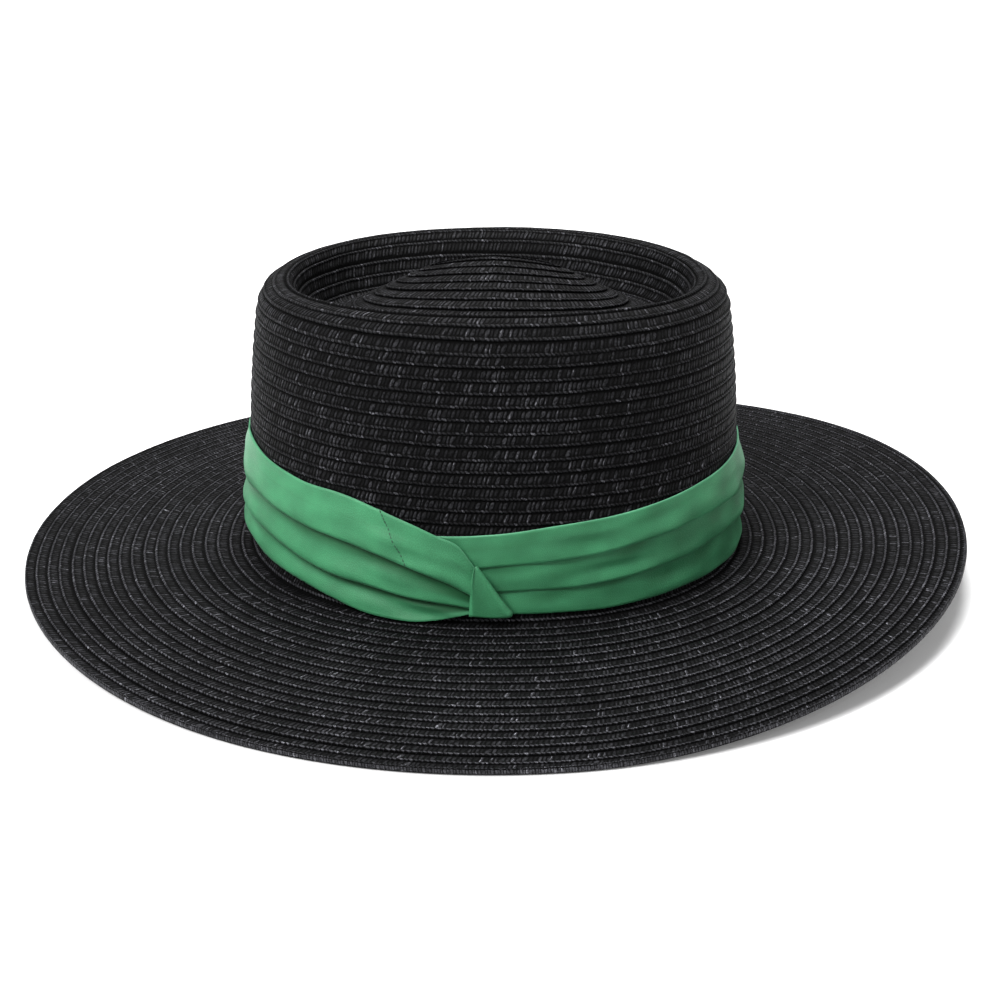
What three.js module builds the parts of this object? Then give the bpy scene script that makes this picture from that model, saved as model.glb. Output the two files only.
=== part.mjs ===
// Straw boater hat: wide flat brim, telescope crown with a sunken groove round a low dome,
// and a pleated satin band caught by a small knot on the wearer's left side.
// Units are millimetres, +Z up. The front of the hat points to -X, the knot faces -Y.
import * as THREE from 'three';

// ---------------------------------------------------------------- driving dimensions
const FACETS_ROUND = 64;          // facets round each oval
const BRAID_THICKNESS = 2.0;      // sewn straw braid, crown
const BRIM_THICKNESS = 2.2;       // sewn straw braid, brim, rows overlap a little more
const PIECE_GAP = 0.4;            // clear air left between neighbouring pieces
const CROWN_SQUARENESS = 2.15;    // exponent of the crown oval, 2 is a plain ellipse
const BRIM_SQUARENESS = 2.02;     // exponent of the brim edge oval

const WALL_FOOT_HALF_LENGTH = 98.4;
const WALL_FOOT_HALF_WIDTH = 88.4;
const WALL_TUCK = { lost: 7.3, over: 97.0, power: 2.4 };   // half length lost up the wall
const WALL_LEAN_SIDEWAYS = 0.132;     // loss of half width per mm of height

const COLLAR_TOP = 6.2;           // height where brim braid ends and crown braid starts
const FOOT_RADIUS = 4.0;          // turn from wall to brim
const EDGE_HALF_LENGTH = 188.0;
const EDGE_HALF_WIDTH = 176.8;
const SIDE_DROOP = 2.0;           // sides of the brim lie this far below its inner ring
const DROOP_ENDS = 0.7;           // fraction of the brim width where the droop is complete
const BACK_LIFT = 16.2;           // upturn of the brim edge at the back
const FRONT_LIFT = 3.4;           // upturn of the brim edge at the front
const LIFT_CURVE = 1.35;          // how late across the brim the upturn happens

const REST_HEIGHT = SIDE_DROOP + BRIM_THICKNESS;   // inner ring of the brim above the rest plane

const SATIN_THICKNESS = 1.1;
const PLEAT_SWELL = 2.0;          // swell of each pleat beyond the cloth thickness
const STRIP_RIGHT_END = -108;     // angle of the hidden end, degrees
const STRIP_LEFT_END = 268.5;     // angle of the end lying on top, degrees
const STRIP_STEPS = 76;           // facets along the strip

const KNOT_APEX = { x: -5.8, z: 22.8 };
const KNOT_LEFT_FOOT = { x: -8.4, z: 4.4 };
const KNOT_TIP = { x: 6.4, z: 4.2 };
const KNOT_STANDOFF = 4.6;        // back face of the knot from the crown wall
const KNOT_SWELL = 2.6;

const STRAW = { color: 0x1b1b1e, roughness: 0.62, metalness: 0.0 };
const SATIN = { color: 0x2f8a5b, roughness: 0.45, metalness: 0.0 };

// Crown from the eye outwards, one line per marked braid row. saddle lifts the near and far
// sides and lowers the two ends by the same amount.
const CROWN_ROWS = [
  { row: 0.0, halfLength: 23.0, halfWidth: 0.0, height: 110.4, saddle: 1.6 },
  { row: 1.0, halfLength: 25.3, halfWidth: 2.5, height: 109.5, saddle: 1.5 },
  { row: 2.0, halfLength: 30.2, halfWidth: 7.1, height: 107.7, saddle: 1.9 },
  { row: 4.0, halfLength: 39.0, halfWidth: 15.8, height: 103.6, saddle: 2.0 },
  { row: 6.0, halfLength: 47.8, halfWidth: 24.7, height: 99.0, saddle: 1.8 },
  { row: 8.0, halfLength: 56.4, halfWidth: 34.0, height: 94.2, saddle: 1.4 },
  { row: 9.7, halfLength: 63.8, halfWidth: 41.6, height: 90.3, saddle: 1.2 },
  { row: 11.0, halfLength: 69.4, halfWidth: 47.2, height: 88.9, saddle: 1.2 },
  { row: 12.2, halfLength: 72.8, halfWidth: 51.8, height: 93.2, saddle: 1.1 },
  { row: 14.0, halfLength: 76.2, halfWidth: 58.9, height: 101.2, saddle: 1.0 },
  { row: 15.2, halfLength: 78.2, halfWidth: 64.4, height: 105.5, saddle: 0.9 },
  { row: 16.0, halfLength: 81.2, halfWidth: 68.4, height: 106.8, saddle: 0.9 },
  { row: 17.0, halfLength: 86.0, halfWidth: 71.6, height: 104.6, saddle: 0.4 },
  { row: 18.0, halfLength: 89.4, halfWidth: 73.8, height: 100.8, saddle: -0.5 },
  { row: 19.0, halfLength: 91.3, halfWidth: 75.5, height: 95.9, saddle: -1.0 },
];
const CROWN_LAST_CURVED_ROW = 19.0;
const CREST_TILT = 1.6;           // the crest is higher on the far side, lower on the near side
const CROWN_ROW_DROP = 4.68;      // height lost per braid row down the wall

// Where rings of facets are laid on the crown, by braid row.
const CROWN_RINGS = [
  0, 1, 2, 4, 6, 8, 9.7, 10.4, 11, 11.6, 12.2, 13.1, 14, 15.2, 15.7, 16.2, 17, 18, 19,
];
const WALL_RING_HEIGHTS = [84, 62, 34, COLLAR_TOP + PIECE_GAP];

// Upper and lower edge of the satin strip round the crown, heights above the brim.
const STRIP_EDGES = [
  { angle: -110, lower: 5.6, upper: 31.0 },
  { angle: -93, lower: 5.4, upper: 32.3 },
  { angle: -80, lower: 3.8, upper: 34.2 },
  { angle: -57, lower: 3.6, upper: 37.4 },
  { angle: -30, lower: 3.7, upper: 41.8 },
  { angle: 0, lower: 3.4, upper: 44.5 },
  { angle: 45, lower: 4.0, upper: 44.0 },
  { angle: 90, lower: 5.0, upper: 44.0 },
  { angle: 140, lower: 7.5, upper: 46.5 },
  { angle: 190, lower: 9.4, upper: 47.6 },
  { angle: 216, lower: 7.0, upper: 44.6 },
  { angle: 230, lower: 4.7, upper: 43.1 },
  { angle: 240, lower: 2.2, upper: 41.1 },
  { angle: 250, lower: 1.3, upper: 37.9 },
  { angle: 258, lower: 2.4, upper: 33.2 },
  { angle: 263, lower: 4.0, upper: 29.5 },
  { angle: 270, lower: 5.6, upper: 20.0 },
];

// Cross-section of the strip from its lower to its upper edge: swell of the three pleats.
const PLEAT_SECTION = [
  { across: 0.0, swell: 0.0 },
  { across: 0.06, swell: 0.7 },
  { across: 0.2, swell: 1.0 },
  { across: 0.35, swell: 0.1 },
  { across: 0.38, swell: 0.7 },
  { across: 0.5, swell: 1.0 },
  { across: 0.66, swell: 0.1 },
  { across: 0.69, swell: 0.6 },
  { across: 0.84, swell: 0.9 },
  { across: 1.0, swell: 0.0 },
];
const STRIP_BACK_SECTION = [1.0, 0.66, 0.33, 0.14, 0.0];

// ---------------------------------------------------------------- helpers
const radians = (degrees) => (degrees * Math.PI) / 180;

const smooth = (value) => {
  const t = Math.min(1, Math.max(0, value));
  return t * t * (3 - 2 * t);
};

// Smooth curve through a table: cubic pieces whose slopes are the mean slopes at each entry.
function readTable(table, key, column, at) {
  const last = table.length - 1;
  let i = 0;
  while (i < last - 1 && at > table[i + 1][key]) {
    i += 1;
  }
  const slope = (k) => {
    const lo = Math.max(0, k - 1);
    const hi = Math.min(last, k + 1);
    return (table[hi][column] - table[lo][column]) / (table[hi][key] - table[lo][key]);
  };
  const span = table[i + 1][key] - table[i][key];
  const t = Math.min(1, Math.max(0, (at - table[i][key]) / span));
  const t2 = t * t;
  const t3 = t2 * t;
  return (
    (2 * t3 - 3 * t2 + 1) * table[i][column] +
    (t3 - 2 * t2 + t) * span * slope(i) +
    (-2 * t3 + 3 * t2) * table[i + 1][column] +
    (t3 - t2) * span * slope(i + 1)
  );
}

// Point of a squarish oval at a given angle.
function onOval(halfLength, halfWidth, squareness, angle) {
  const power = 2 / squareness;
  const c = Math.cos(angle);
  const s = Math.sin(angle);
  return [
    halfLength * Math.sign(c) * Math.abs(c) ** power,
    halfWidth * Math.sign(s) * Math.abs(s) ** power,
  ];
}

function wallSection(height) {
  return {
    halfLength: WALL_FOOT_HALF_LENGTH
      - WALL_TUCK.lost * (Math.max(0, height) / WALL_TUCK.over) ** WALL_TUCK.power,
    halfWidth: WALL_FOOT_HALF_WIDTH - WALL_LEAN_SIDEWAYS * height,
  };
}

// How much of the crest's tilt a braid row takes: all of it near the crest, none far from it.
function crestShare(row) {
  return smooth((row - 12) / 3) * (1 - smooth((row - 16.5) / 4));
}

// Outer face of the crown by braid row and angle.
function crownFace(row, angle) {
  if (row <= CROWN_LAST_CURVED_ROW) {
    const saddle = readTable(CROWN_ROWS, 'row', 'saddle', row);
    const [x, y] = onOval(
      readTable(CROWN_ROWS, 'row', 'halfLength', row),
      readTable(CROWN_ROWS, 'row', 'halfWidth', row),
      CROWN_SQUARENESS,
      angle,
    );
    const height = readTable(CROWN_ROWS, 'row', 'height', row);
    const tilt = CREST_TILT * crestShare(row) * Math.sin(angle);
    return new THREE.Vector3(x, y, height - saddle * Math.cos(2 * angle) + tilt);
  }
  const top = CROWN_ROWS[CROWN_ROWS.length - 1];
  const down = (row - CROWN_LAST_CURVED_ROW) * CROWN_ROW_DROP;
  const height = top.height - down;
  const fade = Math.max(0, 1 - down / 60);
  const wall = wallSection(height);
  const [x, y] = onOval(wall.halfLength, wall.halfWidth, CROWN_SQUARENESS, angle);
  const tilt = CREST_TILT * crestShare(row) * Math.sin(angle);
  return new THREE.Vector3(x, y, height - top.saddle * fade * Math.cos(2 * angle) + tilt);
}

// Upper face of the brim: section 0..1 runs up the collar and round the foot, then to the edge.
function brimFace(section, angle) {
  const foot = 0.12;
  if (section < foot) {
    const turn = section / foot;
    const quarter = Math.max(0, turn - 0.3) / 0.7;
    const bend = (quarter * Math.PI) / 2;
    const straight = Math.min(1, turn / 0.3);
    const height = turn < 0.3
      ? COLLAR_TOP - straight * (COLLAR_TOP - FOOT_RADIUS)
      : FOOT_RADIUS * (1 - Math.sin(bend));
    const wall = wallSection(height);
    const out = FOOT_RADIUS * (1 - Math.cos(bend));
    const [x, y] = onOval(wall.halfLength + out, wall.halfWidth + out, CROWN_SQUARENESS, angle);
    return new THREE.Vector3(x, y, height);
  }
  const across = (section - foot) / (1 - foot);
  const startLength = WALL_FOOT_HALF_LENGTH + FOOT_RADIUS;
  const startWidth = WALL_FOOT_HALF_WIDTH + FOOT_RADIUS;
  const [x, y] = onOval(
    startLength + across * (EDGE_HALF_LENGTH - startLength),
    startWidth + across * (EDGE_HALF_WIDTH - startWidth),
    CROWN_SQUARENESS + across * (BRIM_SQUARENESS - CROWN_SQUARENESS),
    angle,
  );
  const towardsBack = Math.cos(angle);
  const back = Math.max(0, (towardsBack - 0.16) / 0.84) ** 1.5;
  const front = Math.max(0, (-towardsBack - 0.4) / 0.6) ** 1.5;
  const lift = (BACK_LIFT * back + FRONT_LIFT * front) * across ** LIFT_CURVE;
  return new THREE.Vector3(x, y, lift - SIDE_DROOP * smooth(across / DROOP_ENDS));
}

// Unit normal of a face(u, angle) surface, pointing up and outwards.
function faceNormal(face, u, angle) {
  const du = 0.02;
  const da = 0.01;
  const alongU = face(u + du, angle).sub(face(Math.max(0, u - du), angle));
  const alongA = face(u, angle + da).sub(face(u, angle - da));
  return alongU.cross(alongA).normalize();
}

// Closed solid from rings of points: each ring closes on itself, the last ring joins the first.
function solidFromRings(name, rings, look, closeRings) {
  const count = rings[0].length;
  const positions = rings.flat().flatMap((p) => [p.x, p.y, p.z + REST_HEIGHT]);
  const faces = [];
  const rows = closeRings ? rings.length : rings.length - 1;
  for (let i = 0; i < rows; i += 1) {
    const next = (i + 1) % rings.length;
    for (let j = 0; j < count; j += 1) {
      const k = (j + 1) % count;
      const a = i * count + j;
      const b = next * count + j;
      const c = next * count + k;
      const d = i * count + k;
      faces.push(a, b, c, a, c, d);
    }
  }
  if (!closeRings) {
    const last = (rings.length - 1) * count;
    for (let j = 1; j < count - 1; j += 1) {
      faces.push(0, j, j + 1);
      faces.push(last, last + j + 1, last + j);
    }
  }
  return makeMesh(name, positions, faces, look);
}

function makeMesh(name, positions, faces, look) {
  const geometry = new THREE.BufferGeometry();
  geometry.setAttribute('position', new THREE.Float32BufferAttribute(positions, 3));
  geometry.setIndex(faces);
  geometry.computeVertexNormals();
  const mesh = new THREE.Mesh(geometry, new THREE.MeshStandardMaterial({ ...look }));
  mesh.name = name;
  return mesh;
}

// ---------------------------------------------------------------- crown
// Two skins a braid thickness apart, joined round the foot. The innermost ring is folded flat
// on itself, so it is a single line of points: the spine of the oval eye.
function makeCrown() {
  const angleOf = (j) => (2 * Math.PI * j) / FACETS_ROUND;
  const rows = [...CROWN_RINGS];
  const topOfWall = CROWN_ROWS[CROWN_ROWS.length - 1].height;
  for (const height of WALL_RING_HEIGHTS) {
    rows.push(CROWN_LAST_CURVED_ROW + (topOfWall - height) / CROWN_ROW_DROP);
  }
  const positions = [];
  const spineIds = [[], []];
  const ids = [[], []];
  for (let side = 0; side < 2; side += 1) {
    const depth = side * BRAID_THICKNESS;
    for (let j = 0; j <= FACETS_ROUND / 2; j += 1) {
      const p = crownFace(0, angleOf(j));
      spineIds[side].push(positions.length / 3);
      positions.push(p.x, p.y, p.z - depth + REST_HEIGHT);
    }
    const spineRing = [];
    for (let j = 0; j < FACETS_ROUND; j += 1) {
      spineRing.push(spineIds[side][Math.min(j, FACETS_ROUND - j)]);
    }
    ids[side].push(spineRing);
    for (const row of rows.slice(1)) {
      const ring = [];
      for (let j = 0; j < FACETS_ROUND; j += 1) {
        const p = crownFace(row, angleOf(j));
        p.addScaledVector(faceNormal(crownFace, row, angleOf(j)), -depth);
        ring.push(positions.length / 3);
        positions.push(p.x, p.y, p.z + REST_HEIGHT);
      }
      ids[side].push(ring);
    }
  }
  const faces = [];
  const addQuad = (a, b, c, d) => {
    if (a !== b && b !== c && c !== a) {
      faces.push(a, b, c);
    }
    if (a !== c && c !== d && d !== a) {
      faces.push(a, c, d);
    }
  };
  const last = rows.length - 1;
  for (let j = 0; j < FACETS_ROUND; j += 1) {
    const k = (j + 1) % FACETS_ROUND;
    for (let i = 0; i < last; i += 1) {
      const [outer, inner] = ids;
      addQuad(outer[i + 1][j], outer[i + 1][k], outer[i][k], outer[i][j]);
      addQuad(inner[i][j], inner[i][k], inner[i + 1][k], inner[i + 1][j]);
    }
    addQuad(ids[1][last][j], ids[1][last][k], ids[0][last][k], ids[0][last][j]);
  }
  return makeMesh('crown', positions, faces, STRAW);
}

// ---------------------------------------------------------------- brim
function makeBrim() {
  const sections = [0, 0.036, 0.064, 0.092, 0.12, 0.3, 0.5, 0.66, 0.84, 1];
  const ringAt = (section, depth) => {
    const ring = [];
    for (let j = 0; j < FACETS_ROUND; j += 1) {
      const angle = (2 * Math.PI * j) / FACETS_ROUND;
      const p = brimFace(section, angle);
      if (section > 0.12) {
        p.z -= depth;
      } else {
        p.addScaledVector(faceNormal(brimFace, section, angle), -depth);
      }
      ring.push(p);
    }
    return ring;
  };
  const rings = sections.map((section) => ringAt(section, 0));
  for (const section of [...sections].reverse()) {
    rings.push(ringAt(section, BRIM_THICKNESS));
  }
  return solidFromRings('brim', rings, STRAW, true);
}

// ---------------------------------------------------------------- satin band
// Point standing off the crown wall, following the turn into the brim near the foot.
function offWall(angle, height, standoff) {
  const wall = wallSection(height);
  const intoTurn = Math.max(0, FOOT_RADIUS - height);
  const turn = FOOT_RADIUS - Math.sqrt(Math.max(0, FOOT_RADIUS ** 2 - intoTurn ** 2));
  const out = standoff + turn;
  const [x, y] = onOval(wall.halfLength + out, wall.halfWidth + out, CROWN_SQUARENESS, angle);
  return new THREE.Vector3(x, y, height);
}

function makeBand() {
  const rings = [];
  for (let i = 0; i <= STRIP_STEPS; i += 1) {
    const along = i / STRIP_STEPS;
    const degrees = STRIP_RIGHT_END + along * (STRIP_LEFT_END - STRIP_RIGHT_END);
    const angle = radians(degrees);
    const lower = readTable(STRIP_EDGES, 'angle', 'lower', degrees);
    const upper = readTable(STRIP_EDGES, 'angle', 'upper', degrees);
    const flattenedUnder = smooth((degrees - STRIP_RIGHT_END - 16) / 22);
    const risesOver = smooth((degrees - 238) / 16);
    const swell = PLEAT_SWELL * flattenedUnder * (1 - 0.55 * risesOver);
    const back = PIECE_GAP + risesOver * (SATIN_THICKNESS + PIECE_GAP + 0.3);
    const ring = [];
    for (const { across, swell: shape } of PLEAT_SECTION) {
      const height = lower + across * (upper - lower);
      ring.push(offWall(angle, height, back + SATIN_THICKNESS + swell * shape));
    }
    for (const across of STRIP_BACK_SECTION) {
      ring.push(offWall(angle, lower + across * (upper - lower), back));
    }
    rings.push(ring);
  }
  return solidFromRings('band', rings, SATIN, false);
}

// ---------------------------------------------------------------- knot
// A folded cone of satin: wide at the foot, narrowing to the apex, swelling between its edges.
function makeKnot() {
  const levels = 8;
  const acrossSteps = 6;
  const mix = (a, b, t) => a + (b - a) * t;
  const rings = [];
  for (let i = 0; i <= levels; i += 1) {
    const up = (i / levels) * 0.97;
    const left = mix(KNOT_LEFT_FOOT.x, KNOT_APEX.x, up);
    const right = mix(KNOT_TIP.x, KNOT_APEX.x, up ** 0.9);
    const height = mix(KNOT_LEFT_FOOT.z, KNOT_APEX.z, up);
    const ring = [];
    const place = (across, standoff) => {
      const x = mix(left, right, across);
      const wall = wallSection(height);
      const angle = -Math.acos(Math.sign(x) * (Math.abs(x) / wall.halfLength) ** (CROWN_SQUARENESS / 2));
      return offWall(angle, height, standoff);
    };
    for (let j = 0; j <= acrossSteps; j += 1) {
      const across = j / acrossSteps;
      const dome = Math.sqrt(Math.max(0, 1 - (2 * across - 1) ** 2));
      const swell = KNOT_SWELL * dome * mix(1, 0.55, up);
      ring.push(place(across, KNOT_STANDOFF + SATIN_THICKNESS + swell));
    }
    ring.push(place(1, KNOT_STANDOFF));
    ring.push(place(0, KNOT_STANDOFF));
    rings.push(ring.reverse());
  }
  return solidFromRings('band_knot', rings, SATIN, false);
}

const hat = new THREE.Group();
hat.name = 'straw_boater_hat';
hat.add(makeCrown());
hat.add(makeBrim());
hat.add(makeBand());
hat.add(makeKnot());

export default hat;
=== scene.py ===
"""Straw boater hat: black paper-straw braid sewn in a spiral, with a pleated green satin band."""

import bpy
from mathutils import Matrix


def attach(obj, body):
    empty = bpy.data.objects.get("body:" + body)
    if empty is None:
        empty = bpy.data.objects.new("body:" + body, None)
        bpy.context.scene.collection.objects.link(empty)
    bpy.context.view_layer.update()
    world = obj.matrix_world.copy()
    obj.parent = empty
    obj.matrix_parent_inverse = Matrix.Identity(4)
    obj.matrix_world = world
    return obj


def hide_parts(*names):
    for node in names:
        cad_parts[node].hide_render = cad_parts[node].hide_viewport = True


bl_info = {
    "name": "Straw Boater Hat",
    "version": (1, 0, 0),
    "blender": (4, 5, 0),
    "location": "View3D > Sidebar > Hat",
    "description": "Builds a spiral-sewn straw hat with a pleated satin band and its studio",
    "category": "Add Mesh",
}

import bpy
import numpy as np
from mathutils import Vector

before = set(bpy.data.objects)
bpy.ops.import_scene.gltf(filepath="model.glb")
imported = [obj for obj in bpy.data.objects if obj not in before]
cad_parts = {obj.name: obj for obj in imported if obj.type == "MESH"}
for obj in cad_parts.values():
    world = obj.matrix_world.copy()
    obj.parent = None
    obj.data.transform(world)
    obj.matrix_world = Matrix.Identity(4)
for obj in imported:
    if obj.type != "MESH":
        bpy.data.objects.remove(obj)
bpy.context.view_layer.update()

MM = 0.001
TURN = 2.0 * np.pi

# ---------------------------------------------------------------- the hat's own measures, mm
REST_HEIGHT = 4.2            # inner ring of the brim above the surface the hat rests on
CROWN_SQUARENESS = 2.15
BRIM_SQUARENESS = 2.02
WALL_FOOT = (98.4, 88.4)     # half length and half width of the crown wall at the brim
WALL_TUCK = (7.3, 97.0, 2.4)  # half length lost at a height, and the power it grows with
WALL_LEAN = 0.132            # half width lost per mm of height
COLLAR_TOP = 6.2
FOOT_RADIUS = 4.0
BRIM_EDGE = (188.0, 176.8)
SIDE_DROOP = 2.0
DROOP_ENDS = 0.7
BACK_LIFT = 16.2
FRONT_LIFT = 3.4
LIFT_CURVE = 1.35
LAST_CURVED_ROW = 19.0
WALL_TOP = 95.9
ROW_DROP = 4.68
CREST_TILT = 1.6             # the crest is this much higher on the far side, lower on the near
COLLAR_ROW = LAST_CURVED_ROW + (WALL_TOP - COLLAR_TOP - 0.4) / ROW_DROP
BRIM_ROWS = 20.0
ROWS_TIGHTEN = 0.09          # brim rows are this much wider near the crown, narrower outside
CREST_ROW = 16.0
BRIM_SECTION = 93.9          # length of the brim's section, up the collar included
BRAID_END = np.radians(152.0)   # where the braid tapers out at the brim edge

CROWN_ROWS = np.array(
    [
        (0.0, 23.0, 0.0, 110.4, 1.6),
        (1.0, 25.3, 2.5, 109.5, 1.5),
        (2.0, 30.2, 7.1, 107.7, 1.9),
        (4.0, 39.0, 15.8, 103.6, 2.0),
        (6.0, 47.8, 24.7, 99.0, 1.8),
        (8.0, 56.4, 34.0, 94.2, 1.4),
        (9.7, 63.8, 41.6, 90.3, 1.2),
        (11.0, 69.4, 47.2, 88.9, 1.2),
        (12.2, 72.8, 51.8, 93.2, 1.1),
        (14.0, 76.2, 58.9, 101.2, 1.0),
        (15.2, 78.2, 64.4, 105.5, 0.9),
        (16.0, 81.2, 68.4, 106.8, 0.9),
        (17.0, 86.0, 71.6, 104.6, 0.4),
        (18.0, 89.4, 73.8, 100.8, -0.5),
        (19.0, 91.3, 75.5, 95.9, -1.0),
    ],
    dtype=[("row", "f8"), ("length", "f8"), ("width", "f8"), ("height", "f8"), ("saddle", "f8")],
)

# One braid row from the edge tucked under its neighbour to the free edge with its cord.
BRAID_SECTION = np.array(
    [
        (-0.20, -0.70),
        (0.03, -0.14),
        (0.12, 0.04),
        (0.40, 0.14),
        (0.70, 0.18),
        (0.79, 0.46),
        (0.90, 0.50),
        (0.975, 0.20),
        (0.98, -0.35),
    ],
    dtype=[("across", "f8"), ("lift", "f8")],
)

# Edges and fold lines of the satin strip round the crown, heights above the brim.
BAND_LINES = np.array(
    [
        (-110, 5.0, 10.5, 19.0, 31.0),
        (-96, 4.6, 10.8, 19.6, 31.6),
        (-89, 3.6, 11.6, 21.0, 32.6),
        (-78, 3.2, 12.0, 22.5, 35.0),
        (-66, 3.0, 13.0, 24.3, 36.5),
        (-52, 3.4, 14.6, 26.7, 38.6),
        (-40, 3.4, 15.6, 27.8, 40.5),
        (-28, 3.2, 16.6, 27.8, 41.8),
        (-14, 3.0, 15.5, 27.5, 43.2),
        (0, 3.4, 15.8, 28.5, 44.3),
        (45, 4.2, 16.5, 29.3, 44.0),
        (90, 5.0, 17.5, 30.0, 44.0),
        (140, 7.5, 20.0, 32.5, 46.5),
        (180, 9.6, 20.5, 33.0, 48.0),
        (197, 10.6, 19.0, 31.2, 48.3),
        (212, 8.4, 19.2, 31.6, 45.8),
        (221, 7.0, 17.4, 30.0, 44.5),
        (228, 5.6, 14.6, 28.3, 43.4),
        (237, 3.4, 12.7, 26.9, 42.9),
        (245, 1.6, 11.9, 24.8, 40.6),
        (254, 1.2, 10.0, 21.5, 36.6),
        (260.5, 2.0, 8.2, 17.1, 32.0),
        (264, 3.4, 7.0, 14.0, 29.2),
        (266.3, 4.4, 6.2, 11.6, 23.5),
        (268.5, 5.0, 6.0, 9.0, 17.0),
    ],
    dtype=[("angle", "f8"), ("foot", "f8"), ("lower", "f8"), ("upper", "f8"), ("top", "f8")],
)
STRIP_START = -108.0
STRIP_END = 268.4
SEAM_TOP = (247.9, 39.6)       # angle and height where the diagonal seam starts
SEAM_FOOT = (254.2, 21.6)

# Folded wrap at the knot: left and right edge by height.
KNOT_EDGES = np.array(
    [
        (3.6, -8.6, 6.6),
        (5.6, -8.5, 7.0),
        (7.5, -8.4, 5.4),
        (12.3, -8.1, 1.9),
        (17.1, -7.6, -1.5),
        (20.5, -7.0, -3.9),
        (22.6, -6.4, -5.4),
    ],
    dtype=[("height", "f8"), ("left", "f8"), ("right", "f8")],
)


# ---------------------------------------------------------------- curves and faces
def read_table(table, key, column, at):
    """Cubic pieces through a table, each entry's slope being the mean over its neighbours."""
    x, y = table[key], table[column]
    here = np.arange(len(x))
    lo, hi = np.maximum(here - 1, 0), np.minimum(here + 1, len(x) - 1)
    slope = (y[hi] - y[lo]) / (x[hi] - x[lo])
    i = np.clip(np.searchsorted(x, at, side="right") - 1, 0, len(x) - 2)
    span = x[i + 1] - x[i]
    t = np.clip((at - x[i]) / span, 0.0, 1.0)
    t2, t3 = t * t, t * t * t
    return (
        (2 * t3 - 3 * t2 + 1) * y[i]
        + (t3 - 2 * t2 + t) * span * slope[i]
        + (-2 * t3 + 3 * t2) * y[i + 1]
        + (t3 - t2) * span * slope[i + 1]
    )


def smooth(value):
    """Eases from 0 to 1: 3t^2 - 2t^3 with t kept between 0 and 1."""
    t = np.clip(value, 0.0, 1.0)
    return t * t * (3 - 2 * t)


def on_oval(half_length, half_width, squareness, angle):
    """Superellipse: each coordinate is a half axis times cos or sin to the power 2/squareness."""
    power = 2.0 / squareness
    c, s = np.cos(angle), np.sin(angle)
    x = half_length * np.sign(c) * np.abs(c) ** power
    y = half_width * np.sign(s) * np.abs(s) ** power
    return x, y


def stack(x, y, z):
    return np.stack(np.broadcast_arrays(x, y, z), axis=-1)


def wall_at(height):
    """Half length and half width of the crown wall: the length shrinks with a power of the
    height, so the two ends stand upright at the foot; the width shrinks evenly."""
    lost, over, power = WALL_TUCK
    length = WALL_FOOT[0] - lost * (np.maximum(height, 0.0) / over) ** power
    return length, WALL_FOOT[1] - WALL_LEAN * height


def crown_face(row, angle):
    """Crown surface by braid row and angle: ovals from a table, then a straight leaning wall."""
    curved = np.minimum(row, LAST_CURVED_ROW)
    down = np.maximum(row - LAST_CURVED_ROW, 0.0) * ROW_DROP
    height = read_table(CROWN_ROWS, "row", "height", curved) - down
    on_wall = row > LAST_CURVED_ROW
    wall_length, wall_width = wall_at(height)
    a = np.where(on_wall, wall_length, read_table(CROWN_ROWS, "row", "length", curved))
    b = np.where(on_wall, wall_width, read_table(CROWN_ROWS, "row", "width", curved))
    saddle = read_table(CROWN_ROWS, "row", "saddle", curved) * np.clip(1 - down / 60.0, 0, 1)
    tilt = CREST_TILT * smooth((row - 12.0) / 3.0) * (1.0 - smooth((row - 16.5) / 4.0))
    squareness = CROWN_SQUARENESS - 0.32 * (1.0 - smooth((row - 5.0) / 6.0))
    x, y = on_oval(a, b, squareness, angle)
    z = height - saddle * np.cos(2 * angle) + tilt * np.sin(angle)
    return stack(x, y, z + REST_HEIGHT)


def brim_face(row, angle):
    """Brim surface: down the collar, round a quarter turn, then out to the edge, where the back
    and front turn up by a power of the cosine of the angle and the sides droop a little."""
    share = row / BRIM_ROWS
    length = BRIM_SECTION * (share + ROWS_TIGHTEN * share * (1.0 - share))
    straight = COLLAR_TOP - FOOT_RADIUS
    bend = np.clip((length - straight) / FOOT_RADIUS, 0.0, np.pi / 2)
    flat_start = straight + FOOT_RADIUS * np.pi / 2
    across = np.clip((length - flat_start) / (BRIM_SECTION - flat_start), 0.0, 1.0)
    height = COLLAR_TOP - np.minimum(length, straight) - FOOT_RADIUS * np.sin(bend)
    out = FOOT_RADIUS * (1 - np.cos(bend))
    wall_length, wall_width = wall_at(np.maximum(height, 0.0))
    a0, b0 = wall_length + out, wall_width + out
    a = a0 + across * (BRIM_EDGE[0] - WALL_FOOT[0] - FOOT_RADIUS)
    b = b0 + across * (BRIM_EDGE[1] - WALL_FOOT[1] - FOOT_RADIUS)
    n = CROWN_SQUARENESS + across * (BRIM_SQUARENESS - CROWN_SQUARENESS)
    x, y = on_oval(a, b, n, angle)
    to_back = np.cos(angle)
    back = np.maximum(0.0, (to_back - 0.16) / 0.84) ** 1.5
    front = np.maximum(0.0, (-to_back - 0.4) / 0.6) ** 1.5
    lift = (BACK_LIFT * back + FRONT_LIFT * front) * across**LIFT_CURVE
    z = height + lift - SIDE_DROOP * smooth(across / DROOP_ENDS)
    return stack(x, y, z + REST_HEIGHT)


def face_normal(face, row, angle):
    """Unit normal: the cross product of small steps across the rows and round the hat."""
    across = face(row + 0.02, angle) - face(np.maximum(row - 0.02, 0.0), angle)
    round_it = face(row, angle + 0.01) - face(row, angle - 0.01)
    n = np.cross(across, round_it)
    return n / np.maximum(np.linalg.norm(n, axis=-1, keepdims=True), 1e-9)


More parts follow.
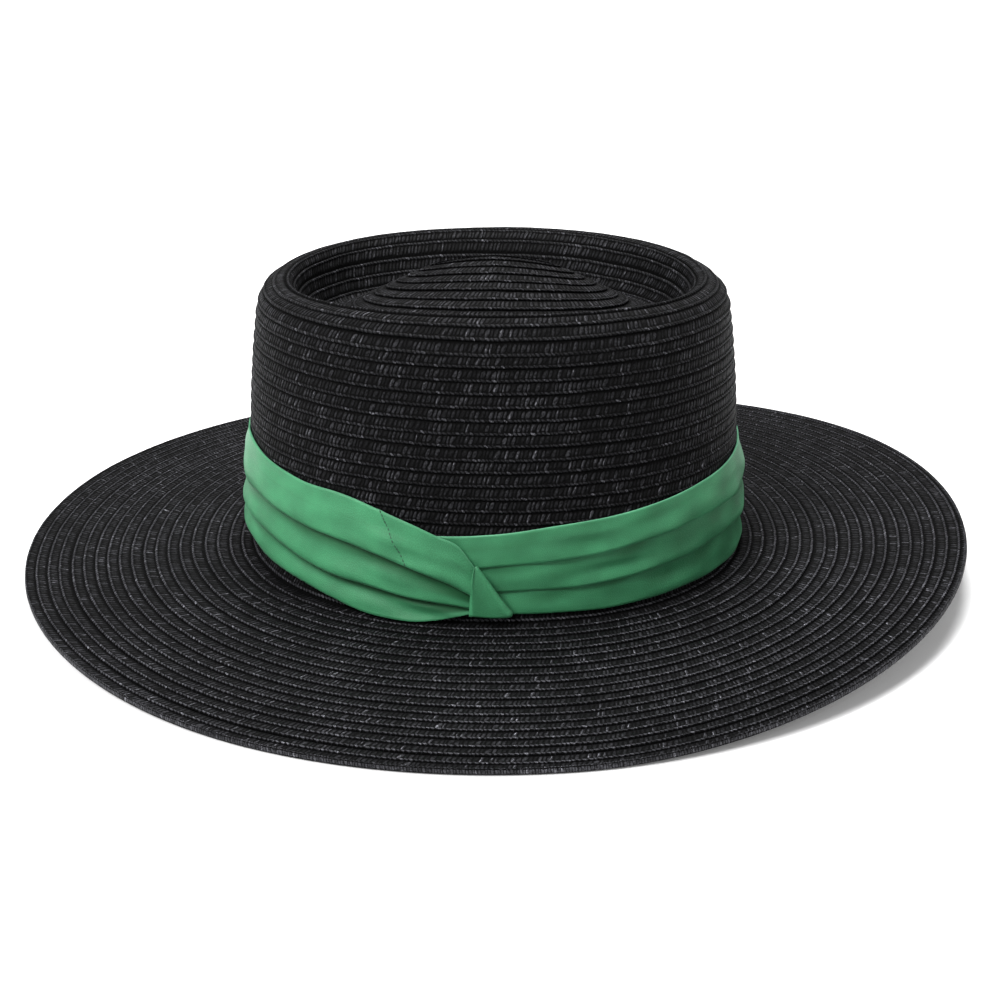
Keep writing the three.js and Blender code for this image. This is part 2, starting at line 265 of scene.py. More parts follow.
def waver(phase, seed, waves=6, slowest=3.0):
    """Slow irregular wander between about -1 and 1: a seeded sum of sines."""
    rng = np.random.default_rng(seed)
    total = np.zeros_like(phase)
    for k in range(waves):
        pace = slowest * 1.7**k / TURN
        total = total + np.sin(phase * pace + rng.uniform(0, TURN)) * 0.8**k
    return total / 2.2


# ---------------------------------------------------------------- meshes
def make_piece(name, points, faces, uv=None, uv_name="braid", fullness=None):
    """Object of one mesh from an (n, 3) array of mm and a (m, 4) array of corner numbers. fullness is
    kept as an attribute: the satin's painted light and shade, 0 darkest in a tuck, 1 out on a pleat,
    above 1 a painted highlight."""
    mesh = bpy.data.meshes.new(name)
    mesh.vertices.add(len(points))
    mesh.vertices.foreach_set("co", (points * MM).astype(np.float32).ravel())
    mesh.loops.add(faces.size)
    mesh.loops.foreach_set("vertex_index", faces.astype(np.int32).ravel())
    mesh.polygons.add(len(faces))
    size = faces.shape[1]
    mesh.polygons.foreach_set("loop_start", np.arange(0, faces.size, size, dtype=np.int32))
    mesh.update(calc_edges=True)
    if uv is not None:
        layer = mesh.uv_layers.new(name=uv_name)
        layer.data.foreach_set("uv", uv[faces.ravel()].astype(np.float32).ravel())
    if fullness is not None:
        kept = mesh.attributes.new("fullness", "FLOAT", "POINT")
        kept.data.foreach_set("value", fullness.astype(np.float32).ravel())
    mesh.validate()
    mesh.shade_smooth()
    piece = bpy.data.objects.new(name, mesh)
    bpy.context.scene.collection.objects.link(piece)
    return piece


def grid_faces(rows, columns, wrap_rows=False, wrap_columns=False, flip=False):
    """Corner numbers of the quads of a rows x columns grid of points."""
    i = np.arange(rows if wrap_rows else rows - 1)
    j = np.arange(columns if wrap_columns else columns - 1)
    i, j = np.meshgrid(i, j, indexing="ij")
    ni, nj = (i + 1) % rows, (j + 1) % columns
    quads = np.stack(
        [i * columns + j, i * columns + nj, ni * columns + nj, ni * columns + j], axis=-1
    ).reshape(-1, 4)
    return quads[:, ::-1] if flip else quads


def drop_flat_quads(points, quads, least=1e-5):
    """Leaves out quads whose two diagonals span next to no area."""
    d1 = points[quads[:, 2]] - points[quads[:, 0]]
    d2 = points[quads[:, 3]] - points[quads[:, 1]]
    return quads[np.linalg.norm(np.cross(d1, d2), axis=1) > least]


def braid_rows(name, face, first, last, steps, stroke, inside=False, depth=0.0, relief=1.0,
               shift=0.0, proud=None):
    """One long strip of braid laid in a spiral. With T the angle turned so far, the row that is
    being laid runs from first - 1 + T/360 to one row further out, clipped between first and
    last; across it the strip rises and falls as the braid section says."""
    turns = last - first + 1.0 - shift
    count = int(np.ceil(turns * steps)) + 1
    turned = np.linspace(0.0, turns * TURN, count)[:, None]
    angle = turned + BRAID_END
    section = BRAID_SECTION[::2] if inside else BRAID_SECTION
    across = section["across"][None, :]
    lift = section["lift"][None, :] * relief
    if inside:
        across = 1.0 - across
    start = first - 1.0 + shift + turned / TURN
    wander = 0.045 * waver(turned, 11) + 0.024 * waver(turned * 21.0, 12)
    row = np.clip(start + across + wander, first, last)
    taper = smooth((turns * TURN - turned) / 0.5)
    lift = lift * (0.25 + 0.75 * taper) * (1.0 + 0.18 * waver(turned * 7.0, 13))
    if proud is not None:
        lift = lift * (1.0 + 0.7 * np.exp(-(((start + 1.0 - proud) / 0.55) ** 2)))
    side = -1.0 if inside else 1.0
    normal = face_normal(face, row, angle)
    points = face(row, angle) + normal * (side * lift - depth)[..., None]
    middle = face(np.clip(start + 0.5, first, last), angle)[:, 0]
    walked = np.concatenate([[0.0], np.cumsum(np.linalg.norm(np.diff(middle, axis=0), axis=1))])
    uv = stack((walked / stroke)[:, None], section["across"][None, :], 0.0)[..., :2]
    points, uv = points.reshape(-1, 3), uv.reshape(-1, 2)
    quads = grid_faces(count, len(section))
    quads = drop_flat_quads(points, quads, 1e-4)
    return make_piece(name, points, quads, uv)


# ---------------------------------------------------------------- shader helpers
class Wiring:
    """Adds nodes to a node tree and joins their sockets."""

    def __init__(self, tree):
        self.tree = tree

    def node(self, kind, values=None, **settings):
        made = self.tree.nodes.new(kind)
        for key, value in settings.items():
            setattr(made, key, value)
        for key, value in (values or {}).items():
            self.feed(made.inputs[key], value)
        return made

    def feed(self, socket, value):
        if isinstance(value, bpy.types.NodeSocket):
            self.tree.links.new(value, socket)
        else:
            socket.default_value = value

    def math(self, operation, *values, clamp=False):
        made = self.node("ShaderNodeMath", operation=operation, use_clamp=clamp)
        for socket, value in zip(made.inputs, values):
            self.feed(socket, value)
        return made.outputs[0]

    def ease(self, value, low, high, to_low=0.0, to_high=1.0):
        made = self.node("ShaderNodeMapRange", interpolation_type="SMOOTHSTEP")
        for socket, item in zip(made.inputs, (value, low, high, to_low, to_high)):
            self.feed(socket, item)
        return made.outputs[0]

    def mix_colours(self, factor, first, second, blend="MIX"):
        made = self.node("ShaderNodeMix", data_type="RGBA", blend_type=blend)
        self.feed(made.inputs[0], factor)
        self.feed(made.inputs[6], first)
        self.feed(made.inputs[7], second)
        return made.outputs[2]


def new_group(name, inputs, outputs):
    """Empty shader node group with named sockets; returns its wiring, inputs and outputs."""
    tree = bpy.data.node_groups.new(name, "ShaderNodeTree")
    for label, kind, default in inputs:
        socket = tree.interface.new_socket(label, in_out="INPUT", socket_type=kind)
        if default is not None:
            socket.default_value = default
    for label, kind in outputs:
        tree.interface.new_socket(label, in_out="OUTPUT", socket_type=kind)
    wiring = Wiring(tree)
    into = wiring.node("NodeGroupInput")
    out = wiring.node("NodeGroupOutput")
    return wiring, into.outputs, out.inputs


def new_material(name):
    material = bpy.data.materials.new(name)
    material.use_nodes = True
    tree = material.node_tree
    tree.nodes.clear()
    wiring = Wiring(tree)
    shader = wiring.node("ShaderNodeBsdfPrincipled")
    output = wiring.node("ShaderNodeOutputMaterial")
    wiring.feed(output.inputs["Surface"], shader.outputs[0])
    return material, wiring, shader


def braid_weave_group():
    """Flat braid seen from outside. Along the strip are slanted bundles of paper straw, each a
    flat-topped ridge; along its free edge runs a cord of twisted beads."""
    name = "braid_weave"
    if name in bpy.data.node_groups:
        return bpy.data.node_groups[name]
    w, given, out = new_group(
        name,
        [
            ("Place", "NodeSocketVector", None),
            ("Slant", "NodeSocketFloat", 0.9),
            ("Cord Start", "NodeSocketFloat", 0.72),
        ],
        [
            ("Height", "NodeSocketFloat"),
            ("Gap", "NodeSocketFloat"),
            ("Tone", "NodeSocketFloat"),
            ("Glint", "NodeSocketFloat"),
            ("Cord", "NodeSocketFloat"),
        ],
    )
    place = w.node("ShaderNodeSeparateXYZ", {"Vector": given["Place"]})
    along, across = place.outputs[0], place.outputs[1]
    jitter = w.node(
        "ShaderNodeTexNoise", {"W": along, "Scale": 0.35, "Detail": 2.0}, noise_dimensions="1D"
    )
    wobble = w.math("MULTIPLY", w.math("SUBTRACT", jitter.outputs[0], 0.5), 1.3)
    along = w.math("ADD", along, wobble)

    def grain(u, v, fullness, roundness):
        """Plump grain: the root of what u squared and a power of v leave over from one."""
        left = w.math("SUBTRACT", 1.0, w.math("MULTIPLY", w.math("POWER", u, 2.0), fullness))
        left = w.math("SUBTRACT", left, w.math("POWER", v, roundness))
        return w.math("SQRT", w.math("MAXIMUM", left, 0.0))

    def chance(number, offset):
        number = w.math("ADD", number, offset)
        return w.node("ShaderNodeTexWhiteNoise", {"W": number}, noise_dimensions="1D").outputs[0]

    slanted = w.math("MULTIPLY_ADD", w.math("SUBTRACT", across, 0.38), given["Slant"], along)
    bundle = w.math("FLOOR", slanted)
    tone, other = chance(bundle, 0.0), chance(bundle, 0.37)
    side = w.math("MULTIPLY_ADD", w.math("FRACT", slanted), 2.0, -1.0)
    reach = w.math("MULTIPLY_ADD", other, 0.09, w.math("MULTIPLY", given["Cord Start"], 0.40))
    centre = w.math("MULTIPLY_ADD", tone, 0.07, w.math("MULTIPLY", given["Cord Start"], 0.50))
    end = w.math("ABSOLUTE", w.math("DIVIDE", w.math("SUBTRACT", across, centre), reach))
    strokes = grain(w.math("ABSOLUTE", side), end, 1.40, 2.8)
    strokes = w.math("MULTIPLY", strokes, w.math("MULTIPLY_ADD", tone, 0.45, 0.60))

    middle = w.math("ADD", given["Cord Start"], 0.13)
    from_middle = w.math("DIVIDE", w.math("SUBTRACT", across, middle), 0.14)
    twisted = w.math("MULTIPLY_ADD", from_middle, -0.30, along)
    bead_tone = chance(w.math("FLOOR", twisted), 7.1)
    bead_side = w.math("ABSOLUTE", w.math("MULTIPLY_ADD", w.math("FRACT", twisted), 2.0, -1.0))
    cord = grain(bead_side, w.math("ABSOLUTE", from_middle), 0.98, 2.2)
    cord = w.math("MULTIPLY", cord, w.math("MULTIPLY_ADD", bead_tone, 0.35, 0.72))

    height = w.math("MAXIMUM", strokes, cord)
    fibre_place = w.node("ShaderNodeCombineXYZ", {"X": slanted, "Y": across})
    fibre_place = w.node(
        "ShaderNodeVectorMath", {0: fibre_place.outputs[0], 1: (7.0, 2.5, 1.0)}, operation="MULTIPLY"
    )
    fibres = w.node(
        "ShaderNodeTexNoise", {"Vector": fibre_place.outputs[0], "Scale": 1.0, "Detail": 3.0},
        noise_dimensions="2D",
    ).outputs[0]
    fine = w.math("MULTIPLY", w.math("SUBTRACT", fibres, 0.5), 0.40)
    w.feed(out["Height"], w.math("ADD", height, fine))
    rough_height = w.math("MULTIPLY_ADD", fine, 0.8, height)
    # Gap is high between the bundles and beads: the material paints shade there and also makes them
    # rougher.
    w.feed(out["Gap"], w.ease(rough_height, 0.20, 0.88, 1.0, 0.0))
    on_cord = w.ease(across, w.math("SUBTRACT", given["Cord Start"], 0.03), given["Cord Start"])
    w.feed(
        out["Tone"],
        w.node("ShaderNodeMix", {0: on_cord, 2: tone, 3: bead_tone}).outputs[0],
    )
    lit_side = w.ease(w.math("ABSOLUTE", w.math("ADD", side, 0.25)), 0.12, 0.42, 1.0, 0.0)
    lucky = w.math("MULTIPLY", w.ease(other, 0.72, 0.98), lit_side)
    lucky = w.math("MAXIMUM", lucky, w.math("MULTIPLY", on_cord, w.ease(bead_tone, 0.80, 0.98)))
    lucky = w.math("MULTIPLY", lucky, w.ease(fibres, 0.46, 0.66))
    w.feed(out["Glint"], w.math("MULTIPLY", lucky, w.ease(height, 0.58, 0.86)))
    w.feed(out["Cord"], on_cord)
    return w.tree


def straw_material(name, settings, brightness=1.0, cord=1.0, cord_highlight_amount=0.5, patchiness=1.0):
    """Black paper straw: painted shade between the bundles, a painted highlight on the paler cords,
    stray painted glints, and bundles that differ in tone at random.
    """
    material, w, shader = new_material(name)
    place = w.node("ShaderNodeUVMap", uv_map="braid")
    weave = w.node("ShaderNodeGroup", node_tree=braid_weave_group())
    w.feed(weave.inputs["Place"], place.outputs[0])
    weave.inputs["Slant"].default_value = settings.slant
    weave.inputs["Cord Start"].default_value = settings.cord_start
    # Painted shade: this colour goes between the bundles and beads.
    gap_shade = tuple(c * 0.06 * brightness for c in settings.colour) + (1.0,)
    plain = tuple(c * 0.42 * brightness for c in settings.colour) + (1.0,)
    worn = tuple(c * (0.42 + 1.8 * patchiness) * brightness for c in settings.colour) + (1.0,)
    # Painted highlight: the raised cords are painted paler than the bundles.
    cord_highlight = tuple(c * 1.9 * brightness * cord for c in settings.colour) + (1.0,)
    glint = tuple(c * 14.0 * brightness for c in settings.colour) + (1.0,)
    body = w.mix_colours(w.math("POWER", weave.outputs["Tone"], 1.6), plain, worn)
    body = w.mix_colours(w.math("MULTIPLY", weave.outputs["Cord"], cord_highlight_amount), body, cord_highlight)
    body = w.mix_colours(weave.outputs["Glint"], body, glint)
    cloudy = w.node("ShaderNodeTexNoise", {"Scale": 22.0, "Detail": 4.0, "Roughness": 0.6})
    w.feed(cloudy.inputs["Vector"], w.node("ShaderNodeTexCoord").outputs["Object"])
    patch = w.ease(cloudy.outputs[0], 0.3, 0.7, 0.72, 1.25)
    grit = w.node("ShaderNodeTexNoise", {"Scale": 1100.0, "Detail": 3.0, "Roughness": 0.7})
    w.feed(grit.inputs["Vector"], w.node("ShaderNodeTexCoord").outputs["Object"])
    patch = w.math("MULTIPLY", patch, w.ease(grit.outputs[0], 0.36, 0.66, 0.30, 1.75))
    patch = w.node("ShaderNodeCombineColor", {0: patch, 1: patch, 2: patch}).outputs[0]
    body = w.mix_colours(1.0, body, patch, "MULTIPLY")
    # Painted shade: the colour is painted shade where the Gap mask is high.
    body = w.mix_colours(weave.outputs["Gap"], body, gap_shade)
    w.feed(shader.inputs["Base Color"], body)
    rough = w.math("MULTIPLY_ADD", weave.outputs["Tone"], 0.16, 0.42)
    rough = w.math("MULTIPLY_ADD", weave.outputs["Glint"], -0.22, rough)
    rough = w.math("MULTIPLY_ADD", weave.outputs["Gap"], 0.3, rough)
    w.feed(shader.inputs["Roughness"], rough)
    shader.inputs["Specular IOR Level"].default_value = 0.09
    bump = w.node(
        "ShaderNodeBump",
        {"Height": weave.outputs["Height"], "Strength": 1.0, "Distance": settings.weave_depth},
    )
    w.feed(shader.inputs["Normal"], bump.outputs[0])
    return material


def satin_weave_group():
    """Fine diagonal twill: two crossed ripples of threads, broken up by slow noise."""
    name = "satin_weave"
    if name in bpy.data.node_groups:
        return bpy.data.node_groups[name]
    w, given, out = new_group(
        name,
        [
            ("Place", "NodeSocketVector", None),
            ("Ribs per mm", "NodeSocketFloat", 1.4),
        ],
        [
            ("Height", "NodeSocketFloat"),
            ("Shade", "NodeSocketFloat"),
        ],
    )
    place = w.node("ShaderNodeSeparateXYZ", {"Vector": given["Place"]})
    along, across = place.outputs[0], place.outputs[1]
    drift = w.node(
        "ShaderNodeTexNoise", {"Vector": given["Place"], "Scale": 0.25, "Detail": 2.0},
        noise_dimensions="2D",
    ).outputs[0]
    diagonal = w.math("MULTIPLY_ADD", across, 0.62, along)
    diagonal = w.math("MULTIPLY_ADD", drift, 0.8, diagonal)
    turn = w.math("MULTIPLY", given["Ribs per mm"], TURN)
    rib = w.math("SINE", w.math("MULTIPLY", diagonal, turn))
    thread = w.math("SINE", w.math("MULTIPLY", across, w.math("MULTIPLY", turn, 2.3)))
    weave = w.math("MULTIPLY_ADD", thread, 0.35, rib)
    speck = w.node(
        "ShaderNodeTexNoise", {"Vector": given["Place"], "Scale": 2.2, "Detail": 4.0},
        noise_dimensions="2D",
    ).outputs[0]
    speck = w.ease(speck, 0.30, 0.70)
    w.feed(out["Height"], w.math("MULTIPLY_ADD", speck, 0.9, w.math("MULTIPLY", weave, 0.3)))
    slow = w.node(
        "ShaderNodeTexNoise", {"Vector": given["Place"], "Scale": 0.06, "Detail": 3.0},
        noise_dimensions="2D",
    ).outputs[0]
    slow = w.ease(slow, 0.25, 0.75)
    shade = w.math("MULTIPLY_ADD", weave, 0.07, w.math("MULTIPLY_ADD", speck, 0.55, 0.2))
    w.feed(out["Shade"], w.math("MULTIPLY_ADD", slow, 0.45, w.math("MULTIPLY", shade, 0.55)))
    return w.tree


def satin_material(name, settings, brightness=1.0):
    """Green satin: soft broad highlights, a light green sheen at grazing angles and a fine twill, with
    painted shade in the tucks and painted highlights on hems and edges, read from the fullness
    attribute.
    """
    material, w, shader = new_material(name)
    place = w.node("ShaderNodeUVMap", uv_map="cloth")
    weave = w.node("ShaderNodeGroup", node_tree=satin_weave_group())
    w.feed(weave.inputs["Place"], place.outputs[0])
    weave.inputs["Ribs per mm"].default_value = settings.ribs
    low = tuple(c * 0.70 * brightness for c in settings.colour) + (1.0,)
    high = tuple(min(1.0, c * 1.42 * brightness) for c in settings.colour) + (1.0,)
    colour = w.mix_colours(weave.outputs["Shade"], low, high)
    # Painted light: below 0.62 the fullness attribute turns the colour to painted tuck shade, and above
    # 1.05 to a painted highlight.
    painted_light_and_shade = w.node("ShaderNodeAttribute", attribute_name="fullness").outputs["Fac"]
    tuck_shade = tuple(c * t * brightness for c, t in zip(settings.colour, (0.10, 0.30, 0.20))) + (1.0,)
    colour = w.mix_colours(w.ease(painted_light_and_shade, 0.0, 0.62), tuck_shade, colour)
    painted_highlight = tuple(min(1.0, c * t * brightness) for c, t in zip(settings.colour, (3.4, 2.0, 2.6)))
    colour = w.mix_colours(w.ease(painted_light_and_shade, 1.05, 1.6), colour, painted_highlight + (1.0,))
    w.feed(shader.inputs["Base Color"], colour)
    rough = w.math("MULTIPLY_ADD", weave.outputs["Shade"], 0.12, settings.roughness)
    w.feed(shader.inputs["Roughness"], rough)
    shader.inputs["Specular IOR Level"].default_value = 0.26
    shader.inputs["Sheen Weight"].default_value = 0.10
    shader.inputs["Sheen Roughness"].default_value = 0.45
    shader.inputs["Sheen Tint"].default_value = (0.62, 1.0, 0.78, 1.0)
    bump = w.node(
        "ShaderNodeBump", {"Height": weave.outputs["Height"], "Strength": 0.8, "Distance": 0.00006}
    )
    w.feed(shader.inputs["Normal"], bump.outputs[0])
    return material


# ---------------------------------------------------------------- satin strip
def off_wall(degrees, height, standoff):
    """Point standing off the crown wall, pushed out near the foot by the turn into the brim."""
    a, b = wall_at(height)
    into = np.clip(FOOT_RADIUS - height, 0.0, FOOT_RADIUS)
    turn = FOOT_RADIUS - np.sqrt(FOOT_RADIUS**2 - into**2)
    out = standoff + turn
    x, y = on_oval(a + out, b + out, CROWN_SQUARENESS, np.radians(degrees))
    return stack(x, y, height + REST_HEIGHT)


def pleat_swell(q):
    """How far a pleat stands out from its upper tuck, 0, to its fold, 1: it hangs close under
    the pleat above, flares like an awning and rounds over just before the fold."""
    return 0.10 + 0.90 * smooth((q - 0.02) / 0.86) - 0.16 * smooth((q - 0.86) / 0.14)


def pleat_profile(body=13, roll=0.42):
    """Section of the strip from the back of its upper hem down over three tucks to its lower hem. Each
    pleat swells as pleat_swell says, rolls round a small half circle at its fold and runs back up behind
    itself before the next pleat starts. line counts edges and fold lines down from the top, rise is an
    extra height in mm, swell and base stand off the wall."""
    line, rise, swell, base = [0.0, 0.0, 0.0], [-4.0, -1.2, -0.2], [0.0] * 3, [0.45, 0.5, 0.6]
    for pleat in range(3):
        q = np.linspace(0.0, 1.0, body)
        line += list(pleat + q)
        rise += [0.0] * body
        swell += list(pleat_swell(q))
        base += list(0.95 + 0.55 * q)
        for bend in (0.5, 1.0):
            line.append(pleat + 1.0)
            rise.append(roll * (1 - np.cos(np.pi * bend)) * 0.6 - roll * np.sin(np.pi * bend))
            swell.append(0.84 * (1.0 - 0.45 * bend))
            base.append(1.5 - 0.45 * bend)
        line += [pleat + 1.0] * 3
        rise += [1.6, 2.6, 1.2] if pleat < 2 else [1.4, 2.6, 3.6]
        swell += [0.0] * 3
        base += [0.95, 0.78, 0.7] if pleat < 2 else [0.6, 0.5, 0.45]
    return np.array(line), np.array(rise), np.array(swell), np.array(base)


def seam_distance(degrees, height):
    """Distance in mm from the diagonal seam, and how far along it from its upper end, 0 to 1."""
    scale = np.radians(1.0) * 92.0
    start = np.array([SEAM_TOP[0] * scale, SEAM_TOP[1]])
    end = np.array([SEAM_FOOT[0] * scale, SEAM_FOOT[1]])
    line = end - start
    length = np.linalg.norm(line)
    line = line / length
    dx, dz = degrees * scale - start[0], height - start[1]
    along = (dx * line[0] + dz * line[1]) / length
    return dx * line[1] - dz * line[0], along


def strip_shape(degrees, line, rise, swell, base):
    """Height and standoff of the satin strip at an angle and a place on its section."""
    levels = [read_table(BAND_LINES, "angle", key, degrees) for key in ("top", "upper", "lower", "foot")]
    levels = np.stack(np.broadcast_arrays(*levels), axis=0)
    lower = np.clip(np.floor(line).astype(int), 0, 2)
    part = line - lower
    shape = np.broadcast_shapes(degrees.shape, line.shape)
    row = np.broadcast_to(lower, shape)
    column = np.broadcast_to(np.arange(shape[0])[:, None], shape)
    high, low = levels[row, column, 0], levels[row + 1, column, 0]
    gap = high - low
    height = high - part * gap + rise * np.clip(gap / 7.0, 0.2, 1.0)
    under = smooth((degrees - STRIP_START - 14.0) / 24.0)
    over = smooth((degrees - 240.0) / 16.0)
    pleat = np.clip(np.floor(line - 1e-6), 0, 2)
    amount = 2.3 + 0.30 * np.sin(np.radians(degrees) * 3.0 + pleat * 2.1)
    amount = amount + 0.25 * np.sin(np.radians(degrees) * 7.0 + pleat * 1.3 + 0.6)
    right = 1.0 - smooth((degrees + 62.0) / 60.0)
    amount = amount * (0.25 + 0.75 * under) * (1.0 - 0.35 * over) * (1.0 - 0.68 * right)
    amount = amount * np.clip(gap / 9.0, 0.35, 1.1)
    standoff = base + swell * amount + over * 2.2
    return height, standoff


def strip_point(degrees, line, rise, swell, base):
    height, standoff = strip_shape(degrees, line, rise, swell, base)
    away, along = seam_distance(degrees, height)
    on_seam = (along > -0.05) & (along < 1.04) & (line < 1.0)
    pucker = np.exp(-((away / 0.9) ** 2)) * 0.28 * (1 + 0.25 * np.sin(along * 70.0))
    standoff = standoff - np.where(on_seam, pucker, 0.0)
    ripple = 0.26 * np.sin(degrees * 0.31 + height * 0.42) * np.sin(degrees * 0.11 - height * 0.2)
    ripple = ripple + 0.20 * np.sin(degrees * 0.19 - height * 0.55 + 1.7)
    gathered = np.exp(-(((degrees - 258.0) / 13.0) ** 2))
    ripple = ripple + 0.34 * gathered * np.sin(height * 0.95 + degrees * 0.42)
    standoff = standoff + ripple * smooth((swell - 0.15) / 0.3)
    dent = np.exp(-(((degrees + 62.0) / 10.0) ** 2)
                  - (((height - 17.6 - (degrees + 62.0) * 0.10) / 2.0) ** 2))
    standoff = standoff - 1.0 * dent * smooth(swell / 0.2)
    slack = np.exp(-(((degrees + 76.0) / 9.0) ** 2) - (((height - 27.5) / 2.6) ** 2))
    standoff = standoff - 0.7 * slack * smooth(swell / 0.2)
    return off_wall(degrees, height, standoff)


def satin_strip(steps):
    """The whole strip: the pleated section carried round the crown."""
    line, rise, swell, base = pleat_profile()
    degrees = np.linspace(STRIP_START, STRIP_END, steps)[:, None]
    points = strip_point(degrees, line[None, :], rise[None, :], swell[None, :], base[None, :])
    hop = np.linalg.norm(np.diff(points, axis=1), axis=2).mean(axis=0)
    across = np.concatenate([[0.0], np.cumsum(hop)])
    walk = np.linalg.norm(np.diff(points[:, len(line) // 2], axis=0), axis=1)
    along = np.concatenate([[0.0], np.cumsum(walk)])
    uv = stack(along[:, None], across[None, :], 0.0)[..., :2]
    quads = grid_faces(steps, len(line), flip=True)
    # Painted light and shade of the satin, kept as its fullness attribute: it follows the swell of each
    # pleat, so the tucks are painted darker, and the pleats towards the knot are painted darker still.
    gathered = smooth((degrees - 236.0) / 24.0) * smooth((line - 0.75) / 0.4)
    shadowed = 0.34 * gathered * (0.75 + 0.5 * np.sin(line * 6.3 + degrees * 0.16))
    painted_light_and_shade = np.clip(swell + 0.0 * degrees - shadowed, 0.0, 1.0)
    # Painted highlight: the top of the first pleat is painted light.
    near_hem = (1.0 - smooth((line - 0.10) / 0.62)) * (rise > -0.5)
    painted_light_and_shade = np.maximum(painted_light_and_shade, near_hem)
    # Painted shade on the right-hand side: the map is made more even and darker there, with soft creases
    # painted in.
    on_right = 1.0 - smooth((degrees - 10.0) / 60.0)
    crease_shade = 0.10 * np.sin(degrees * 0.33 + line * 5.2) * np.sin(degrees * 0.13 - line * 3.1 + 0.7)
    right_side_shade = np.where(swell > 0.05, 0.34 + 0.16 * painted_light_and_shade + crease_shade, painted_light_and_shade)
    painted_light_and_shade = painted_light_and_shade + (right_side_shade - painted_light_and_shade) * on_right
    # Painted highlight along the top hem, stronger on the right.
    painted_light_and_shade = painted_light_and_shade + (0.85 * on_right + 0.25) * np.exp(-(((line + 0.0 * degrees) / 0.035) ** 2))
    piece = make_piece(
        "band_strip", points.reshape(-1, 3), quads, uv.reshape(-1, 2), "cloth", painted_light_and_shade
    )
    return piece, across[-1] * MM, along[-1] * MM


def satin_knot(levels=44, around=40):
    """Folded wrap: each level is a flattened closed loop between the left and right edge, flat
    behind and swelling in front, leaning over towards its right edge."""
    height = np.linspace(3.7, 22.8, levels)[:, None]
    left = read_table(KNOT_EDGES, "height", "left", height)
    right = read_table(KNOT_EDGES, "height", "right", height)
    up = (height - 3.7) / 19.1
    t = np.linspace(0.0, TURN, around, endpoint=False)[None, :]
    across = 0.5 - 0.5 * np.cos(t)
    front = np.maximum(np.sin(t), 0.0)
    behind = np.minimum(np.sin(t), 0.0)
    x = left + (right - left) * across
    lean = 1.0 + 0.5 * (across - 0.5)
    swell = (2.3 * (1 - up) ** 0.5 + 0.5) * front**0.75 * lean
    lip = 1.0 * np.exp(-(((across - 0.06) / 0.07) ** 2)) * front**0.3 * smooth((up - 0.35) / 0.4)
    crease = 0.16 * np.exp(-(((across - 0.30 - 0.25 * up) / 0.10) ** 2)) * front
    standoff = 4.7 + swell + lip - crease + 0.5 * behind
    ends = np.minimum(up / 0.06, (1 - up) / 0.05)
    standoff = 4.7 + (standoff - 4.7) * np.clip(ends, 0.0, 1.0) ** 0.5
    a, _ = wall_at(height)
    angle = -np.degrees(np.arccos(np.sign(x) * (np.abs(x) / (a + 5)) ** (CROWN_SQUARENESS / 2)))
    points = off_wall(angle, height, standoff)
    uv = stack(x * 0.8 + height * 0.6, height * 0.8 - x * 0.6, 0.0)[..., :2]
    quads = grid_faces(levels, around, wrap_columns=True, flip=True)
    caps = np.array([[(around - j) % around, j, j + 1, (around - j - 1) % around]
                     for j in range(around // 2)])
    top = (levels - 1) * around
    quads = np.concatenate([quads, caps[:, ::-1], caps + top])
    flat = points.reshape(-1, 3)
    # Painted light on the knot: painted highlights along both edges, and painted shade towards the left
    # and the bottom.
    rim = np.exp(-(((across - 0.93) / 0.05) ** 2)) + np.exp(-(((across - 0.03) / 0.04) ** 2))
    painted_light_and_shade = 0.24 + 0.20 * across * front + 0.85 * rim * front**0.3
    painted_light_and_shade = np.clip(painted_light_and_shade + 0.16 * up, 0.0, 1.6)
    return make_piece("knot_wrap", flat, quads, uv.reshape(-1, 2), "cloth", painted_light_and_shade)


def seam_stitches(count=15):
    """Small thread ellipsoids lying along the diagonal seam of the upper pleat."""
    rng = np.random.default_rng(5)
    place = (np.arange(count) + 0.5) / count + rng.uniform(-0.012, 0.012, count)
    degrees = SEAM_TOP[0] + (SEAM_FOOT[0] - SEAM_TOP[0]) * place
    height = SEAM_TOP[1] + (SEAM_FOOT[1] - SEAM_TOP[1]) * place
    top = read_table(BAND_LINES, "angle", "top", degrees)
    fold = read_table(BAND_LINES, "angle", "upper", degrees)
    q = np.clip((top - height) / (top - fold), 0.0, 0.98)
    swell = pleat_swell(q)
    zero = np.zeros_like(q)
    centre = np.stack([
        strip_point(d[None, None], v[None, None], z[None, None], s[None, None], b[None, None])[0, 0]
        for d, v, z, s, b in zip(degrees, q, zero, swell, 0.95 + 0.55 * q)
    ])
    forward = np.gradient(centre, axis=0)
    forward /= np.linalg.norm(forward, axis=1, keepdims=True)
    outward = centre * np.array([1.0, 1.0, 0.0])
    outward /= np.linalg.norm(outward, axis=1, keepdims=True)
    aside = np.cross(forward, outward)
    u, v = np.meshgrid(np.linspace(0, np.pi, 7), np.linspace(0, TURN, 8, endpoint=False), indexing="ij")
    bead = np.stack([np.cos(u), np.sin(u) * np.cos(v), np.sin(u) * np.sin(v)], axis=-1).reshape(-1, 3)
    size = np.array([0.60, 0.25, 0.20])
    bead = bead * size
    axes = np.stack([forward, aside, outward], axis=1)
    points = centre[:, None, :] + outward[:, None, :] * 0.10 + np.einsum("vk,nkc->nvc", bead, axes)
    quads = grid_faces(7, 8, wrap_columns=True, flip=True)
    quads = (quads[None] + (np.arange(count) * len(bead))[:, None, None]).reshape(-1, 4)
    return make_piece("seam_stitches", points.reshape(-1, 3), quads)


